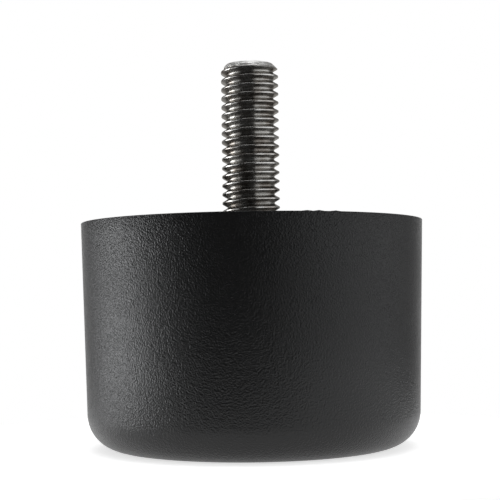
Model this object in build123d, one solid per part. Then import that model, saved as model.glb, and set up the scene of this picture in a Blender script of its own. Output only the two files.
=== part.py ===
from build123d import *

import os
from math import cos, radians, sin, tan

# A low round foot for a sofa: a moulded plastic cup with a steel bolt set in its boss.
# Millimetres, +Z up.  The origin is the centre of the base, on the floor.
# The cup is open at the top, where its rim, six ribs and a boss carry the load.  The
# bolt's thread stands up out of the boss and screws into the underside of the seat.

# Cup, outside
foot_height = 38.0  # floor to the top of the rim
rim_radius = 29.0  # outer wall, at the top of the rim
wall_draft = 1.5  # degrees; the cup is wider at the top, so it leaves its mould
base_edge_radius = 6.0  # round between the outer wall and the flat base
rim_edge_radius = 0.25  # the parting edge at the top is nearly sharp

# Cup, inside
wall_thickness = 2.5  # at the top of the rim
floor_thickness = 3.0
rib_count = 6
rib_thickness = 2.0  # at the top of the ribs
boss_wall = 2.25  # plastic outside the corners of the bolt's head
pocket_draft = 1.0  # degrees, on every side of the pockets between the ribs
pocket_corner_radius = 3.0  # upright corners of a pocket, at the top
pocket_floor_radius = 2.0  # round between a pocket's sides and its floor

# Shallow relief in the top of the boss, round the thread
relief_radius = 6.5
relief_depth = 0.8

# Bolt: a fully threaded hexagon-head M10 x 1.5
bolt_length = 40.0  # under the head
bolt_reach = 27.25  # from the rim up to the tip of the thread
thread_radius = 4.925  # over the crests, where the thread is clear of the plastic
keyed_radius = 4.5  # half way down the thread, where the plastic has filled its grooves
tip_chamfer = 0.95
head_across_flats = 16.0
head_height = 6.4
head_chamfer_angle = 30.0  # degrees, on the corners of the head's outer face

# The boss, at its top, is as wide as the head that it holds
boss_radius = head_across_flats / 2 / cos(radians(30)) + boss_wall

# Levels along the axis that both pieces share
tip_z = foot_height + bolt_reach
bearing_z = tip_z - bolt_length  # where the head ends and the thread starts
relief_z = foot_height - relief_depth


def upright(radius, bottom_z, top_z):
    """A cylinder about the foot's axis, between two levels."""
    stands = (Align.CENTER, Align.CENTER, Align.MIN)
    return Pos(0, 0, bottom_z) * Cylinder(radius, top_z - bottom_z, align=stands)


def solid_cup():
    """The cup's outer shape before it is hollowed."""
    base_radius = rim_radius - foot_height * tan(radians(wall_draft))
    corners = [(0, 0), (base_radius, 0), (rim_radius, foot_height), (0, foot_height)]
    outline = make_face(Polyline(*corners, close=True))
    base_corner = outline.vertices().sort_by(Axis.X)[-2]
    outline = fillet(base_corner, base_edge_radius)
    rim_corner = outline.vertices().sort_by(Axis.X)[-1]
    outline = fillet(rim_corner, rim_edge_radius)
    return revolve(Plane.XZ * outline, Axis.Z)


def pocket():
    """The hollow between two ribs, centred on +X."""
    half_angle = radians(180 / rib_count)
    apex = rib_thickness / 2 / sin(half_angle)
    reach = 2 * rim_radius
    half_width = (reach - apex) * tan(half_angle)
    wedge = make_face(Polyline((apex, 0), (reach, -half_width), (reach, half_width), close=True))
    mouth = wedge & (Circle(rim_radius - wall_thickness) - Circle(boss_radius))
    mouth = fillet(mouth.vertices(), pocket_corner_radius)
    depth = foot_height - floor_thickness
    hollow = extrude(Pos(0, 0, foot_height) * mouth, -depth, taper=pocket_draft)
    bottom_edges = hollow.faces().sort_by(Axis.Z)[0].edges()
    return fillet(bottom_edges, pocket_floor_radius)


def bolt_head():
    """The hexagon head, with its outer face down and the corners of that face cut to a cone."""
    flat_distance = head_across_flats / 2
    cone_height = flat_distance  # far enough to pass the head's corners
    cone_growth = cone_height / tan(radians(head_chamfer_angle))
    hexagon = RegularPolygon(flat_distance, 6, major_radius=False)
    prism = Pos(0, 0, bearing_z - head_height) * extrude(hexagon, head_height)
    stands = (Align.CENTER, Align.CENTER, Align.MIN)
    cone = Cone(flat_distance, flat_distance + cone_growth, cone_height, align=stands)
    return prism & Pos(0, 0, bearing_z - head_height) * cone


def mounting_bolt():
    """The bolt, head down in the boss and thread up."""
    keyed_shank = upright(keyed_radius, bearing_z, relief_z)
    thread = upright(thread_radius, relief_z, tip_z)
    tip_edge = thread.faces().sort_by(Axis.Z)[-1].edges()
    thread = chamfer(tip_edge, tip_chamfer)
    return bolt_head() + keyed_shank + thread


def foot_body(bolt):
    """The cup, moulded round the bolt, so that it holds the bolt's own shape."""
    body = solid_cup()
    for number in range(rib_count):
        turn = (number + 0.5) * 360 / rib_count
        body -= Rot(0, 0, turn) * pocket()
    body -= upright(relief_radius, relief_z, foot_height)
    return body - bolt


os.makedirs("parts", exist_ok=True)
bolt = mounting_bolt()
export_step(foot_body(bolt), "parts/foot_body.step")
export_step(bolt, "parts/mounting_bolt.step")
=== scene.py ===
from math import atan2, ceil, cos, hypot, pi, radians, sin, sqrt, tan

import bmesh
import bpy
from mathutils import Matrix, Vector


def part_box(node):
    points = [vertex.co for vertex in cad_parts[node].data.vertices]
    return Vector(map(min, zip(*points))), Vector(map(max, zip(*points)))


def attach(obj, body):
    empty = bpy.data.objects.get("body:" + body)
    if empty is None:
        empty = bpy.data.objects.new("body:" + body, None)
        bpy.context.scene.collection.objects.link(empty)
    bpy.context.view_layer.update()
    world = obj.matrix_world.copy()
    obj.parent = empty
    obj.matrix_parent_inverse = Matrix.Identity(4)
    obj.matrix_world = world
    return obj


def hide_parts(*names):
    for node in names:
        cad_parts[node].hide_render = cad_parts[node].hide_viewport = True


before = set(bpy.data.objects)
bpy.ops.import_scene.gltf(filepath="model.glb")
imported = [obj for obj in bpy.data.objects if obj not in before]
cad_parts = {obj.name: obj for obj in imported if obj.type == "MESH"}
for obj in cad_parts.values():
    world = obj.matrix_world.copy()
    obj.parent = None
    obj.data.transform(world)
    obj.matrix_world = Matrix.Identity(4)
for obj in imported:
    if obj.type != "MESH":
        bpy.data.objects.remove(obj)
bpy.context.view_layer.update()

# A low round sofa foot: a black moulded plastic cup with a steel M10 bolt set in its boss.
# Metres, +Z up, with the origin at the centre of the base.

mm = 0.001
body_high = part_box("foot_body")[1]
bolt_low, bolt_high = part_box("mounting_bolt")

# Cup, outside
rim_height = body_high.z
wall_draft = radians(1.5)
base_edge_radius = 6 * mm
rim_edge_radius = 0.12 * mm  # the parting edge, nearly sharp
rim_radius = body_high.x + rim_edge_radius * tan(wall_draft)

# Cup, inside
wall_thickness = 2.5 * mm
floor_thickness = 3 * mm
rib_count = 6
rib_thickness = 2 * mm
boss_wall = 2.25 * mm
pocket_draft = radians(1)
pocket_corner_radius = 3 * mm
pocket_floor_radius = 2 * mm
mouth_edge_radius = 0.2 * mm  # round on the edges of the pockets and the relief
relief_radius = 6.5 * mm
relief_depth = 0.8 * mm

# Bolt
thread_pitch = 1.5 * mm
thread_radius = 4.925 * mm
thread_depth = 0.86 * mm
crest_round = 0.1 * mm
root_round = 0.2 * mm
crest_height = 40.588 * mm  # a crest of the thread on the +X side
keyed_radius = 4.5 * mm
tip_chamfer = 0.95 * mm
head_across_flats = 16 * mm
head_height = 6.4 * mm
head_chamfer_angle = radians(30)

# Levels and sizes that follow from those
tip_height = bolt_high.z
head_bottom = bolt_low.z
bearing_height = head_bottom + head_height
relief_height = rim_height - relief_depth
head_corner_radius = head_across_flats / 2 / cos(radians(30))
boss_radius = head_corner_radius + boss_wall
sector = 2 * pi / rib_count  # from the middle of one rib to the middle of the next
up = (0, 0, 1)
centre = (0, 0, 0)
same_place = 0.002 * mm  # points nearer than this are one point
overlap = 1 * mm  # how far a shape runs past the place where it is cut or hidden

# Fineness of the meshes: how many edges make each line, arc or ring
rim_edges = 32  # across one sector
relief_edges = 16  # across one sector
rib_middle_edges = 15
pocket_outer_edges = 22
pocket_outer_corner_edges = 10
pocket_side_edges = 6
pocket_inner_corner_edges = 8
pocket_inner_edges = 8
turn_edges = 96  # in one turn of the thread, and round a plain disc
tip_edges = 120  # round the end of the bolt

# Studio
floor_radius = 65 * mm


# Modelling by hand: the small steps that every piece is made of

def use_alone(piece):
    """Makes a piece the only selected object, and the active one."""
    bpy.ops.object.select_all(action="DESELECT")
    bpy.context.view_layer.objects.active = piece
    piece.select_set(True)


def start_point(name, x=0.0, y=0.0, z=0.0):
    """A new piece that is a single selected point, open in edit mode."""
    bpy.ops.object.select_all(action="DESELECT")
    bpy.ops.mesh.primitive_plane_add(size=mm)
    piece = bpy.context.object
    piece.name = piece.data.name = name
    bpy.ops.object.mode_set(mode="EDIT")
    bpy.ops.mesh.merge(type="CENTER")
    bpy.ops.transform.translate(value=(x, y, z))
    return piece


def extrude(x=0.0, y=0.0, z=0.0):
    """Extrudes what is selected, and moves it."""
    bpy.ops.mesh.extrude_region_move(TRANSFORM_OT_translate={"value": (x, y, z)})


def arc(steps, angle, middle, axis=up):
    """Draws an arc on from the selected point, anticlockwise about the axis."""
    bpy.ops.mesh.spin(steps=steps, angle=-angle, center=middle, axis=axis)


def ring_to(old_radius, new_radius, rise):
    """Extrudes the selected ring about the axis to a new radius and height."""
    extrude(z=rise)
    scale = new_radius / old_radius
    bpy.ops.transform.resize(value=(scale, scale, 1), center_override=centre)


def merge_all(near=same_place):
    """Merges all points of the piece that are nearer to each other than this."""
    bpy.ops.mesh.select_all(action="SELECT")
    bpy.ops.mesh.remove_doubles(threshold=near)


def select_where(kind, test):
    """Selects the points (VERT) or edges (EDGE) that pass a test, and nothing else."""
    bpy.ops.mesh.select_mode(type=kind)
    bpy.ops.mesh.select_all(action="DESELECT")
    piece = bpy.context.edit_object
    mesh = bmesh.from_edit_mesh(piece.data)
    for part in mesh.verts if kind == "VERT" else mesh.edges:
        if test(part):
            part.select_set(True)
    mesh.select_flush_mode()
    bmesh.update_edit_mesh(piece.data)


def select_open_ring(radius):
    """Selects the open edges that lie at one distance from the axis."""
    near = 0.02 * mm
    select_where("EDGE", lambda edge: edge.is_boundary and all(
        abs(hypot(end.co.x, end.co.y) - radius) < near for end in edge.verts))


def cut_with(piece, cutter, operation):
    """Applies a Boolean to a piece, and removes the cutter."""
    use_alone(piece)
    change = piece.modifiers.new("cut", "BOOLEAN")
    change.object = cutter
    change.operation = operation
    change.solver = "EXACT"
    bpy.ops.object.modifier_apply(modifier=change.name)
    bpy.data.objects.remove(cutter)


def round_points(middle_radius, middle_height, radius, start, end, steps):
    """Points (distance from the axis, height) on an arc in a section of the foot."""
    angles = [start + (end - start) * step / steps for step in range(steps + 1)]
    return [(middle_radius + radius * cos(a), middle_height + radius * sin(a)) for a in angles]


# The cup

def rim_flat_radius():
    """Where the flat top of the rim ends and its edge round starts."""
    return rim_radius - rim_edge_radius * (tan(wall_draft) + 1 / cos(wall_draft))


def draw_sector_outline():
    """The top face's share for one pocket: rim, middle of a rib, relief, middle of a rib."""
    outer, inner = rim_flat_radius(), relief_radius + mouth_edge_radius
    step = (outer - inner) / rib_middle_edges
    arc(rim_edges, sector, centre)
    for _ in range(rib_middle_edges):
        extrude(-step * cos(sector), -step * sin(sector))
    arc(relief_edges, -sector, centre)
    for _ in range(rib_middle_edges):
        extrude(step)
    merge_all()


def draw_pocket_outline(outer_middle, inner_middle):
    """The pocket's mouth in the top face, between the rib along +X and the next one."""
    step = (outer_middle[0] - inner_middle[0]) / pocket_side_edges
    outer_angle = atan2(outer_middle[1], outer_middle[0])
    inner_angle = atan2(inner_middle[1], inner_middle[0])
    turn = Matrix.Rotation(sector, 3, "Z")
    far_outer = turn @ Vector((outer_middle[0], -outer_middle[1], 0))
    far_inner = turn @ Vector((inner_middle[0], -inner_middle[1], 0))
    arc(pocket_outer_edges, sector - 2 * outer_angle, centre)
    arc(pocket_outer_corner_edges, pi / 2 + outer_angle, far_outer)
    for _ in range(pocket_side_edges):
        extrude(-step * cos(sector), -step * sin(sector))
    arc(pocket_inner_corner_edges, pi / 2 - inner_angle, far_inner)
    arc(pocket_inner_edges, 2 * inner_angle - sector, centre)
    arc(pocket_inner_corner_edges, pi / 2 - inner_angle, inner_middle)
    for _ in range(pocket_side_edges):
        extrude(step)
    arc(pocket_outer_corner_edges, pi / 2 + outer_angle, outer_middle)
    merge_all()


def corner_middle(distance):
    """The centre of a pocket's corner round, at a distance from the axis."""
    rise = rib_thickness / 2 + pocket_corner_radius
    return Vector((sqrt(distance ** 2 - rise ** 2), rise, 0))


def sink_pocket():
    """Takes the selected face down, ring by ring, to the pocket's floor."""
    mouth_steps, wall_steps, floor_steps = 3, 8, 6
    quarter = pi / 2
    section = []
    for step in range(mouth_steps + 1):
        angle = (quarter - pocket_draft) * step / mouth_steps
        section.append((mouth_edge_radius * sin(angle), mouth_edge_radius * (1 - cos(angle))))
    depth = rim_height - floor_thickness
    wall_end = depth - pocket_floor_radius * (1 - sin(pocket_draft))
    wall_run, wall_top = section[-1]
    for step in range(1, wall_steps + 1):
        down = (wall_end - wall_top) * step / wall_steps
        section.append((wall_run + down * tan(pocket_draft), wall_top + down))
    corner_run = section[-1][0] + pocket_floor_radius * cos(pocket_draft)
    for step in range(1, floor_steps + 1):
        angle = pocket_draft + (quarter - pocket_draft) * step / floor_steps
        run = corner_run - pocket_floor_radius * cos(angle)
        section.append((run, depth - pocket_floor_radius * (1 - sin(angle))))
    for (old_run, old_down), (new_run, new_down) in zip(section, section[1:]):
        bpy.ops.mesh.inset(thickness=new_run - old_run, depth=old_down - new_down)


def outer_section():
    """The cup's outside, from the flat of the rim down the wall and round to the flat base."""
    rim_steps, wall_steps, base_steps = 4, 12, 14
    flat_ring = 2 * mm  # a narrow ring of the base, outside the face that closes it
    rim_middle = rim_flat_radius()
    base_middle = (rim_radius - (rim_height - base_edge_radius) * tan(wall_draft)
                   - base_edge_radius / cos(wall_draft))
    rim_round = round_points(rim_middle, rim_height - rim_edge_radius, rim_edge_radius,
                             pi / 2, -wall_draft, rim_steps)
    base_round = round_points(base_middle, base_edge_radius, base_edge_radius,
                              -wall_draft, -pi / 2, base_steps)
    top, bottom = rim_round[-1], base_round[0]
    wall = [tuple(a + (b - a) * step / wall_steps for a, b in zip(top, bottom))
            for step in range(1, wall_steps)]
    base_flat = (base_middle - flat_ring, 0)
    return rim_round + wall + base_round + [base_flat]


def relief_section():
    """The relief round the thread, from the top face down to its floor and in under the bolt."""
    edge_steps = 3
    edge = round_points(relief_radius + mouth_edge_radius, rim_height - mouth_edge_radius,
                        mouth_edge_radius, pi / 2, pi, edge_steps)
    return edge + [(relief_radius, relief_height), (keyed_radius - overlap, relief_height)]


def follow_section(section):
    """Extrudes the open ring at the section's first point along the rest of it, and closes it."""
    select_open_ring(section[0][0])
    for (old_radius, old_height), (new_radius, new_height) in zip(section, section[1:]):
        ring_to(old_radius, new_radius, new_height - old_height)
    bpy.ops.mesh.edge_face_add()


def raise_flash():
    """Three specks of flash that the mould left on the parting edge."""
    specks = ((8.7 * mm, 0.10 * mm), (10.3 * mm, 0.12 * mm), (12.9 * mm, 0.10 * mm))
    half_edge = pi * rim_radius / (rib_count * rim_edges)
    rim_flat = rim_flat_radius() - 0.01 * mm
    edge_bottom = rim_height - 0.1 * mm
    for across, proud in specks:
        select_where("VERT", lambda point: point.co.y < 0
                     and abs(point.co.x - across) < half_edge
                     and point.co.z > edge_bottom
                     and hypot(point.co.x, point.co.y) > rim_flat)
        bpy.ops.transform.translate(value=(0, 0, proud))


def is_inside_sector(point):
    """Whether a point of the top face is off the sector's outline, as the pocket's mouth is."""
    from_rib = rib_thickness / 4
    from_rings = 1 * mm
    from_next_rib = point.x * sin(sector) - point.y * cos(sector)
    reach = hypot(point.x, point.y)
    return (point.y > from_rib and from_next_rib > from_rib
            and relief_radius + from_rings < reach < rim_radius - from_rings)


def top_face_sector():
    """A sixth of the cup's top face, with its pocket sunk into it."""
    outer_middle = corner_middle(rim_radius - wall_thickness - pocket_corner_radius)
    inner_middle = corner_middle(boss_radius + pocket_corner_radius)
    piece = start_point("foot_body_shell", rim_flat_radius(), 0, rim_height)
    draw_sector_outline()
    bpy.ops.object.mode_set(mode="OBJECT")
    mouth_reach = rim_radius - wall_thickness + mouth_edge_radius
    mouth_start = outer_middle.normalized() * mouth_reach
    mouth = start_point("mouth", mouth_start.x, mouth_start.y, rim_height)
    draw_pocket_outline(outer_middle, inner_middle)
    bpy.ops.object.mode_set(mode="OBJECT")
    use_alone(piece)
    mouth.select_set(True)
    bpy.ops.object.join()
    bpy.ops.object.mode_set(mode="EDIT")
    bpy.ops.mesh.select_mode(type="EDGE")
    bpy.ops.mesh.select_all(action="SELECT")
    bpy.ops.mesh.bridge_edge_loops()
    bpy.ops.mesh.select_all(action="SELECT")
    bpy.ops.mesh.normals_make_consistent(inside=False)
    select_where("EDGE", lambda edge: edge.is_boundary
                 and all(is_inside_sector(end.co) for end in edge.verts))
    bpy.ops.mesh.edge_face_add()
    bpy.ops.mesh.select_mode(type="FACE")
    sink_pocket()
    return piece


def foot_body():
    """The cup: six sectors of its top, then its outside and its relief drawn on from them."""
    piece = top_face_sector()
    bpy.ops.mesh.select_all(action="SELECT")
    for _ in range(rib_count - 1):
        bpy.ops.mesh.duplicate()
        bpy.ops.transform.rotate(value=sector, orient_axis="Z", center_override=centre)
    merge_all()
    follow_section(outer_section())
    follow_section(relief_section())
    bpy.ops.mesh.select_all(action="SELECT")
    bpy.ops.mesh.normals_make_consistent(inside=False)
    raise_flash()
    bpy.ops.object.mode_set(mode="OBJECT")
    return piece


# The bolt

def draw_thread_outline(bottom):
    """One turn of the thread's outline at +X, from the bottom of a groove to the next groove."""
    root_edges, flank_edges, crest_edges = 4, 3, 3
    flank = radians(30)  # half of the thread's included angle
    turn = pi / 2 - flank
    rounds = crest_round + root_round
    flank_run = thread_depth - rounds * (1 - sin(flank))
    flank_rise = flank_run * tan(flank)
    half_flat = thread_pitch / 2 - flank_rise - rounds * cos(flank)
    root_middle = thread_radius - thread_depth + root_round
    crest_middle = thread_radius - crest_round
    crest = bottom + thread_pitch / 2
    towards, away = (0, 1, 0), (0, -1, 0)
    arc(root_edges, turn, (root_middle, 0, bottom), towards)
    for _ in range(flank_edges):
        extrude(flank_run / flank_edges, 0, flank_rise / flank_edges)
    arc(crest_edges, turn, (crest_middle, 0, crest - half_flat), away)
    extrude(z=2 * half_flat)
    arc(crest_edges, turn, (crest_middle, 0, crest + half_flat), away)
    for _ in range(flank_edges):
        extrude(-flank_run / flank_edges, 0, flank_rise / flank_edges)
    arc(root_edges, turn, (root_middle, 0, bottom + thread_pitch), towards)


def cut_level(height, keep_above):
    """Cuts the piece in edit mode level at a height, and closes the cut."""
    bpy.ops.mesh.select_all(action="SELECT")
    bpy.ops.mesh.bisect(plane_co=(0, 0, height), plane_no=up, use_fill=True,
                        clear_inner=keep_above, clear_outer=not keep_above,
                        threshold=same_place / 10)


def thread():
    """The thread that stands out of the boss, cut level at both ends."""
    turns_below = ceil((crest_height - relief_height) / thread_pitch) + 1
    bottom = crest_height - (turns_below + 0.5) * thread_pitch
    turns = ceil((tip_height - bottom) / thread_pitch) + 1
    piece = start_point("thread", thread_radius - thread_depth, 0, bottom)
    draw_thread_outline(bottom)
    bpy.ops.object.mode_set(mode="OBJECT")
    use_alone(piece)
    helix = piece.modifiers.new("helix", "SCREW")
    helix.axis = "Z"
    helix.angle = 2 * pi
    helix.screw_offset = thread_pitch
    helix.iterations = turns
    helix.steps = helix.render_steps = turn_edges
    bpy.ops.object.modifier_apply(modifier=helix.name)
    bpy.ops.object.mode_set(mode="EDIT")
    merge_all()
    cut_level(relief_height, keep_above=True)
    cut_level(tip_height + overlap, keep_above=False)
    bpy.ops.mesh.select_all(action="SELECT")
    bpy.ops.mesh.normals_make_consistent(inside=False)
    bpy.ops.object.mode_set(mode="OBJECT")
    return piece


def disc(name, radius, height, points=turn_edges):
    """A flat disc, selected and open in edit mode, to be drawn up into a solid."""
    bpy.ops.object.select_all(action="DESELECT")
    bpy.ops.mesh.primitive_circle_add(vertices=points, radius=radius, fill_type="NGON",
                                      location=(0, 0, height))
    piece = bpy.context.object
    piece.name = piece.data.name = name
    bpy.ops.object.transform_apply()
    bpy.ops.object.mode_set(mode="EDIT")
    return piece


def draw_up(piece, radius, steps):
    """Draws the selected face up through steps of (new radius, rise), and ends the edit."""
    for new_radius, rise in steps:
        ring_to(radius, new_radius, rise)
        radius = new_radius
    bpy.ops.mesh.select_all(action="SELECT")
    bpy.ops.mesh.normals_make_consistent(inside=False)
    bpy.ops.object.mode_set(mode="OBJECT")
    return piece


def tip_limits():
    """The space that the thread's tip stays in: a column with its top edge cut at 45 degrees."""
    wide = thread_radius + overlap
    top_radius = thread_radius - tip_chamfer
    slope = wide - top_radius
    rings = 14
    shares_of_top = (0.9, 0.7, 0.4)
    steps = [(wide, tip_height - slope - relief_height + overlap)]
    steps += [(wide - slope * ring / rings, slope / rings) for ring in range(1, rings + 1)]
    steps += [(top_radius * share, 0) for share in shares_of_top]
    return draw_up(disc("tip_limits", wide, relief_height - overlap, tip_edges), wide, steps)


def tip_band():
    """The end of the bolt above its last full turn, where the groove was never rolled in."""
    first_radius, depth = 4.05 * mm, 1.1 * mm
    steps = [(4.42 * mm, 0.35 * mm), (4.38 * mm, 0.3 * mm), (3.95 * mm, 0.45 * mm)]
    band = disc("tip_band", first_radius, tip_height - depth, tip_edges)
    return draw_up(band, first_radius, steps)


def bolt_core(name, top):
    """The bolt's hexagon head and the shank above it, which the cup is moulded round."""
    flat_distance = head_across_flats / 2
    cone_growth = flat_distance / tan(head_chamfer_angle)
    piece = disc(name, head_corner_radius, head_bottom, 6)
    draw_up(piece, head_corner_radius, [(head_corner_radius, head_height)])
    bpy.ops.transform.rotate(value=pi / 2, orient_axis="Z", center_override=centre)
    bpy.ops.object.transform_apply()
    cone = disc("cone", flat_distance, head_bottom)
    draw_up(cone, flat_distance, [(flat_distance + cone_growth, flat_distance)])
    cut_with(piece, cone, "INTERSECT")
    shank = disc("shank", keyed_radius, bearing_height - overlap)
    draw_up(shank, keyed_radius, [(keyed_radius, top - bearing_height + overlap)])
    cut_with(piece, shank, "UNION")
    return piece


def mounting_bolt():
    """The whole bolt: the thread with its tip, joined to the head and shank in the plastic."""
    piece = thread()
    cut_with(piece, tip_limits(), "INTERSECT")
    cut_with(piece, tip_band(), "UNION")
    just_above = 0.05 * mm  # the shank's end misses the points of the thread
    cut_with(piece, bolt_core("core", relief_height + just_above), "UNION")
    use_alone(piece)
    bpy.ops.object.mode_set(mode="EDIT")
    merge_all(same_place / 10)
    bpy.ops.object.mode_set(mode="OBJECT")
    piece.name = piece.data.name = "mounting_bolt_steel"
    return piece


# Materials

def new_material(name):
    """A material with its shader and the node tree that feeds it."""
    material = bpy.data.materials.new(name)
    material.use_nodes = True
    return material, material.node_tree.nodes, material.node_tree.links


def place_in_mm(nodes, links, stretch=(1, 1, 1)):
    """Object coordinates in millimetres, so that a texture's scale is in cells to a millimetre."""
    coordinates = nodes.new("ShaderNodeTexCoord")
    mapping = nodes.new("ShaderNodeMapping")
    mapping.inputs["Scale"].default_value = [share / mm for share in stretch]
    links.new(coordinates.outputs["Object"], mapping.inputs["Vector"])
    return mapping.outputs["Vector"]


def noise(nodes, links, vector, scale, detail, roughness=0.5):
    """Noise from nought to one, with its scale in cells to a millimetre."""
    texture = nodes.new("ShaderNodeTexNoise")
    texture.inputs["Scale"].default_value = scale
    texture.inputs["Detail"].default_value = detail
    texture.inputs["Roughness"].default_value = roughness
    links.new(vector, texture.inputs["Vector"])
    return texture.outputs["Fac"]


def spread(nodes, links, value, low, high, start=0.3, end=0.7):
    """Maps a value from start..end to low..high."""
    mapping = nodes.new("ShaderNodeMapRange")
    limits = {"From Min": start, "From Max": end, "To Min": low, "To Max": high}
    for name, number in limits.items():
        mapping.inputs[name].default_value = number
    links.new(value, mapping.inputs["Value"])
    return mapping.outputs["Result"]


def combine(nodes, links, operation, first, second):
    """Adds, multiplies or otherwise combines two values."""
    node = nodes.new("ShaderNodeMath")
    node.operation = operation
    links.new(first, node.inputs[0])
    links.new(second, node.inputs[1])
    return node.outputs["Value"]


def ramp(nodes, links, value, stops):
    """Turns a value into a colour by stops of (position, colour), in order."""
    node = nodes.new("ShaderNodeValToRGB")
    elements = node.color_ramp.elements
    elements[0].position, elements[0].color = stops[0]
    elements[1].position, elements[1].color = stops[-1]
    for position, colour in stops[1:-1]:
        elements.new(position).color = colour
    links.new(value, node.inputs["Fac"])
    return node.outputs["Color"]


def bump(nodes, links, height, strength, distance, under=None):
    """Relief in a surface, laid on top of another relief if one is given."""
    node = nodes.new("ShaderNodeBump")
    node.inputs["Strength"].default_value = strength
    node.inputs["Distance"].default_value = distance
    links.new(height, node.inputs["Height"])
    if under is not None:
        links.new(under, node.inputs["Normal"])
    return node.outputs["Normal"]


def black_moulded_plastic():
    """Near-black plastic with the fine grain of a spark-eroded mould."""
    material, nodes, links = new_material("black_moulded_plastic")
    shader = nodes["Principled BSDF"]
    place = place_in_mm(nodes, links)
    grain = noise(nodes, links, place, scale=3.8, detail=1, roughness=0.5)
    cloud = noise(nodes, links, place, scale=0.12, detail=3)
    shader.inputs["Base Color"].default_value = (0.0050, 0.0050, 0.0052, 1)
    shader.inputs["Specular IOR Level"].default_value = 0.36
    links.new(spread(nodes, links, cloud, low=0.32, high=0.36), shader.inputs["Roughness"])
    relief = bump(nodes, links, grain, strength=1.0, distance=0.125 * mm)
    links.new(relief, shader.inputs["Normal"])
    return material


def rolled_steel():
    """Bare steel, with brown stains, scuffs that run round the thread and a dented, paler tip."""
    stained, clean = (0.35, 0.325, 0.30, 1), (0.58, 0.57, 0.55, 1)
    tip_depth, tip_blur, tip_raggedness = 0.85, 0.2, 0.25  # in millimetres
    material, nodes, links = new_material("rolled_steel")
    shader = nodes["Principled BSDF"]
    place = place_in_mm(nodes, links)
    along = place_in_mm(nodes, links, (1, 1, 6))
    stain = noise(nodes, links, place, scale=0.45, detail=4)
    scuffs = noise(nodes, links, along, scale=1.6, detail=4, roughness=0.6)
    hammered = noise(nodes, links, place, scale=1.5, detail=3, roughness=0.6)

    split = nodes.new("ShaderNodeSeparateXYZ")
    links.new(place, split.inputs["Vector"])
    shift = spread(nodes, links, hammered, low=-tip_raggedness, high=tip_raggedness)
    ragged = combine(nodes, links, "ADD", split.outputs["Z"], shift)
    tip_level = tip_height / mm - tip_depth
    tip = spread(nodes, links, ragged, 0, 1, start=tip_level, end=tip_level + tip_blur)

    colour = nodes.new("ShaderNodeMix")
    colour.data_type = "RGBA"
    links.new(tip, colour.inputs["Factor"])
    links.new(ramp(nodes, links, stain, ((0.36, stained), (0.58, clean))), colour.inputs["A"])
    colour.inputs["B"].default_value = (0.85, 0.84, 0.82, 1)
    links.new(colour.outputs["Result"], shader.inputs["Base Color"])
    shader.inputs["Metallic"].default_value = 1.0
    shader.inputs["Specular Tint"].default_value = (0.40, 0.39, 0.37, 1)

    rough = nodes.new("ShaderNodeMix")
    rough.data_type = "FLOAT"
    links.new(tip, rough.inputs["Factor"])
    links.new(spread(nodes, links, scuffs, low=0.18, high=0.30), rough.inputs["A"])
    rough.inputs["B"].default_value = 0.35
    links.new(rough.outputs["Result"], shader.inputs["Roughness"])

    dents = combine(nodes, links, "MULTIPLY", hammered, tip)
    fine = bump(nodes, links, scuffs, strength=0.3, distance=0.025 * mm)
    coarse = bump(nodes, links, dents, strength=1.0, distance=0.25 * mm, under=fine)
    links.new(coarse, shader.inputs["Normal"])
    return material


# The stage

def either(nodes, links, names):
    """One where any of the named kinds of ray arrives, otherwise nought."""
    path = nodes.new("ShaderNodeLightPath")
    total = path.outputs[names[0]]
    for name in names[1:]:
        total = combine(nodes, links, "MAXIMUM", total, path.outputs[name])
    return total


def white_floor():
    """A round white table: lit, so that it takes the foot's shadow, and white in view."""
    just_under = 0.01 * mm
    glow = 0.66
    bpy.ops.mesh.primitive_circle_add(vertices=96, radius=floor_radius, fill_type="NGON",
                                      location=(0, 0, -just_under))
    floor = bpy.context.object
    floor.name = "floor"
    material, nodes, links = new_material("floor_white")
    shader = nodes["Principled BSDF"]
    shader.inputs["Base Color"].default_value = (0.8, 0.8, 0.8, 1)
    shader.inputs["Roughness"].default_value = 0.9
    shader.inputs["Specular IOR Level"].default_value = 0.0
    shader.inputs["Emission Color"].default_value = (1, 1, 1, 1)
    seen = either(nodes, links, ("Is Camera Ray", "Is Glossy Ray", "Is Transmission Ray"))
    links.new(spread(nodes, links, seen, 0, glow, 0, 1), shader.inputs["Emission Strength"])
    floor.data.materials.append(material)


def studio_world():
    """White to the camera, an even light on dull surfaces, and in reflections a white backdrop
    behind the foot in a dim room."""
    room_levels = ((0.3, 0.02), (0.65, 0.2), (0.92, 0.3), (0.97, 1))  # from front to back
    dull_level = 0.5
    world = bpy.data.worlds.new("studio")
    bpy.context.scene.world = world
    world.use_nodes = True
    nodes, links = world.node_tree.nodes, world.node_tree.links
    background = nodes["Background"]
    coordinates = nodes.new("ShaderNodeTexCoord")
    split = nodes.new("ShaderNodeSeparateXYZ")
    links.new(coordinates.outputs["Generated"], split.inputs["Vector"])
    front_to_back = spread(nodes, links, split.outputs["Y"], 0, 1, -1, 1)
    room = ramp(nodes, links, front_to_back,
                [(position, (level, level, level, 1)) for position, level in room_levels])
    reflected = nodes.new("ShaderNodeMix")
    reflected.data_type = "FLOAT"
    reflected.inputs["A"].default_value = dull_level
    links.new(either(nodes, links, ("Is Glossy Ray", "Is Transmission Ray")),
              reflected.inputs["Factor"])
    links.new(room, reflected.inputs["B"])
    seen = either(nodes, links, ("Is Camera Ray",))
    strength = combine(nodes, links, "MAXIMUM", seen, reflected.outputs["Result"])
    links.new(strength, background.inputs["Strength"])
    background.inputs["Color"].default_value = (1, 1, 1, 1)


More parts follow.
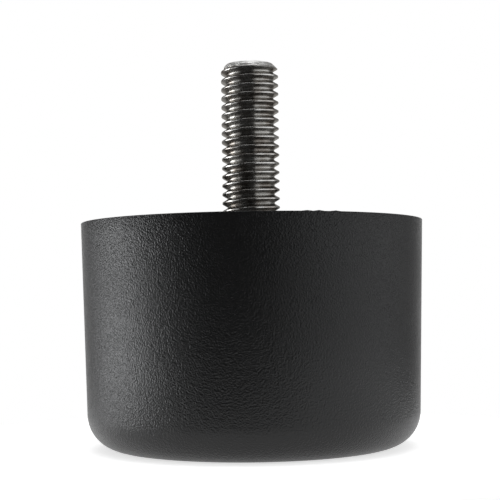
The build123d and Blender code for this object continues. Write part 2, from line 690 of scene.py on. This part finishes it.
def softbox(name, bearing, distance, height, width, tall, radiance):
    """An area lamp that faces the foot.  Its bearing is from the camera's side, to the right."""
    turn = radians(bearing)
    place = (distance * sin(turn), -distance * cos(turn), height)
    bpy.ops.object.light_add(type="AREA", location=place)
    lamp = bpy.context.object
    lamp.name = name
    lamp.data.shape = "RECTANGLE"
    lamp.data.size = width
    lamp.data.size_y = tall
    lamp.data.energy = radiance * pi * width * tall
    lamp.data.color = (0.97, 0.985, 1.0)
    aim = Vector((0, 0, rim_height)) - lamp.location
    lamp.rotation_euler = aim.to_track_quat("-Z", "Y").to_euler()


def studio_camera():
    """Low in front of the foot, a little below its rim, with the long lens tipped up slightly."""
    distance, height = 215.8 * mm, 24.7 * mm
    rise, turn, lean = radians(2.29), radians(0.085), radians(-0.775)
    bpy.ops.object.camera_add()
    camera = bpy.context.object
    facing = (Matrix.Rotation(turn, 4, "Z") @ Matrix.Rotation(pi / 2 + rise, 4, "X")
              @ Matrix.Rotation(lean, 4, "Z"))
    camera.matrix_world = Matrix.Translation((0, -distance, height)) @ facing
    camera.data.sensor_width = 36
    camera.data.lens = 90.77
    camera.data.clip_start = 0.01
    bpy.context.scene.camera = camera


def finish_piece(piece, material, node, smooth_angle):
    """Shades a piece, gives it its material, and puts it in its CAD node's place."""
    use_alone(piece)
    bpy.ops.object.shade_smooth_by_angle(angle=radians(smooth_angle))
    piece.data.materials.clear()
    piece.data.materials.append(material)
    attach(piece, "root")
    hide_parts(node)


studio_camera()
bolt = mounting_bolt()
body = foot_body()
cut_with(body, bolt_core("bolt_room", relief_height + overlap), "DIFFERENCE")
finish_piece(body, black_moulded_plastic(), "foot_body", smooth_angle=35)
finish_piece(bolt, rolled_steel(), "mounting_bolt", smooth_angle=50)

white_floor()
studio_world()
softbox("left_softbox", bearing=-98, distance=0.6, height=-0.02,
        width=0.32, tall=0.28, radiance=7.0)
softbox("left_skirt", bearing=-66, distance=0.6, height=-0.02,
        width=0.3, tall=0.28, radiance=1.15)
softbox("right_softbox", bearing=66, distance=0.6, height=0.05,
        width=1.15, tall=0.45, radiance=1.1)
softbox("top_softbox", bearing=0, distance=0.01, height=0.7,
        width=0.6, tall=0.6, radiance=1.5)
bpy.context.scene.view_settings.view_transform = "Standard"
